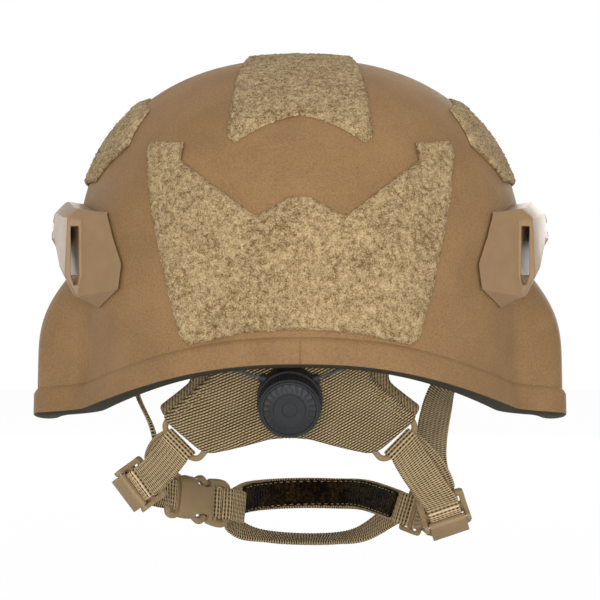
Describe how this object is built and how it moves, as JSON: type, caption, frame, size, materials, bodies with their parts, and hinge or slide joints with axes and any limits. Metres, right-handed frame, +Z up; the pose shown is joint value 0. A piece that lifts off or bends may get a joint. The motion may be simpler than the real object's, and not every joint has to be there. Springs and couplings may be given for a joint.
{
  "type": "combat helmet",
  "caption": "Full-cut combat helmet with side rails, front shroud, comfort pads, dial-tightened nape cradle and adjustable chin harness with a side-release buckle.",
  "frame": {"origin": "centre of the head opening at the height of the ear covers' lowest line", "axes": "+Z up through the crown, +Y towards the wearer's face, +X the wearer's right"},
  "size_m": [0.249, 0.2812, 0.2324],
  "materials": {
    "shell_paint": "matt textured coyote coating on the moulded shell",
    "trim_rubber": "matt moulded edge trim",
    "loop_pile": "napped loop pile panels",
    "tan_plastic": "satin moulded nylon",
    "black_metal": "matt black fasteners and brackets",
    "black_plastic": "matt moulded plastic",
    "steel_pin": "bright pins and screws",
    "pad_fabric": "brushed pad covers over foam",
    "webbing": "woven tan webbing",
    "nape_weave": "coarse woven nape cover",
    "nape_foam": "tan covered comfort pad",
    "chin_plush": "dark brown plush lining",
    "lace": "braided dark lace"
  },
  "bodies": {
    "shell": {"shell": "shell_paint", "edge_trim": "trim_rubber", "loop_rear": "loop_pile", "loop_top": "loop_pile", "loop_left": "loop_pile", "loop_right": "loop_pile", "loop_front": "loop_pile", "rail_left": "tan_plastic", "rail_right": "tan_plastic", "rail_screws": "black_metal", "rail_nuts": "black_metal", "shroud": "black_metal", "shroud_screws": "black_metal", "shroud_nuts": "black_metal", "pad_front": "pad_fabric", "pad_crown": "pad_fabric", "pad_rear": "pad_fabric", "pad_left_front": "pad_fabric", "pad_left_rear": "pad_fabric", "pad_right_front": "pad_fabric", "pad_right_rear": "pad_fabric", "hook_discs": "black_plastic", "hanger_brackets": "black_metal", "lace_guides": "black_plastic", "lace_left": "lace", "lace_right": "lace", "rear_strap_left": "webbing", "rear_strap_right": "webbing", "side_strap_left": "webbing", "side_strap_right": "webbing", "strap_eyelets": "black_metal", "adjuster_left": "tan_plastic", "adjuster_right": "tan_plastic", "cam_pins": "steel_pin", "plug_strap": "webbing", "chin_tail": "webbing"},
    "nape": {"nape_pad": "nape_foam", "nape_cover": "nape_weave", "nape_yoke": "tan_plastic", "nape_hanger": "webbing", "dial_housing": "black_plastic", "dial_screw": "steel_pin"},
    "dial": {"dial_knob": "black_plastic", "dial_cap": "black_plastic", "pawl_ring": "black_plastic", "lace_spool": "black_plastic"},
    "lever_left": {"cam_lever_left": "tan_plastic"},
    "lever_right": {"cam_lever_right": "tan_plastic"},
    "chin": {"buckle_plug": "black_plastic", "buckle_socket": "tan_plastic", "chin_strap_front": "webbing", "chin_lining": "chin_plush", "chin_strap_lower": "webbing", "chin_slider": "tan_plastic"},
    "latch_upper": {"latch_arm_upper": "black_plastic"},
    "latch_lower": {"latch_arm_lower": "black_plastic"}
  },
  "joints": [
    {"name": "nape_tilt", "type": "hinge", "parent": "shell", "child": "nape", "pos_m": [0, -0.106, 0.048], "axis": [1, 0, 0], "range_deg": [0, 12], "deforming": ["rear_strap_left", "rear_strap_right", "lace_left", "lace_right"]},
    {"name": "dial_turn", "type": "hinge", "parent": "nape", "child": "dial", "pos_m": [-0.0045, -0.11, 0.0114], "axis": [0, -0.9511, -0.309], "range_deg": [0, 720]},
    {"name": "lever_left_open", "type": "hinge", "parent": "shell", "child": "lever_left", "pos_m": [-0.07609, -0.05405, -0.03307], "axis": [-0.6, 0, 0.8], "range_deg": [0, 60]},
    {"name": "lever_right_open", "type": "hinge", "parent": "shell", "child": "lever_right", "pos_m": [0.06701, -0.05384, -0.04747], "axis": [-0.9477, 0, -0.3192], "range_deg": [0, 60]},
    {"name": "chin_swing", "type": "hinge", "parent": "shell", "child": "chin", "pos_m": [-0.07664, -0.04448, -0.03348], "axis": [0.9939, -0.0001, -0.1107], "range_deg": [-25, 25], "deforming": ["plug_strap", "chin_tail"]},
    {"name": "latch_upper_squeeze", "type": "hinge", "parent": "chin", "child": "latch_upper", "pos_m": [-0.05336, -0.02594, -0.03123], "axis": [-0.7411, 0.6651, -0.0922], "range_deg": [0, 8], "stiffness_Nm_per_rad": 0.02},
    {"name": "latch_lower_squeeze", "type": "hinge", "parent": "chin", "child": "latch_lower", "pos_m": [-0.05406, -0.02851, -0.04416], "axis": [0.7411, -0.6651, 0.0922], "range_deg": [0, 8], "stiffness_Nm_per_rad": 0.02}
  ],
  "couplings": [
    {"joint": "nape_tilt", "follows": "dial_turn", "ratio": 0.016667},
    {"joint": "latch_lower_squeeze", "follows": "latch_upper_squeeze", "ratio": 1}
  ]
}
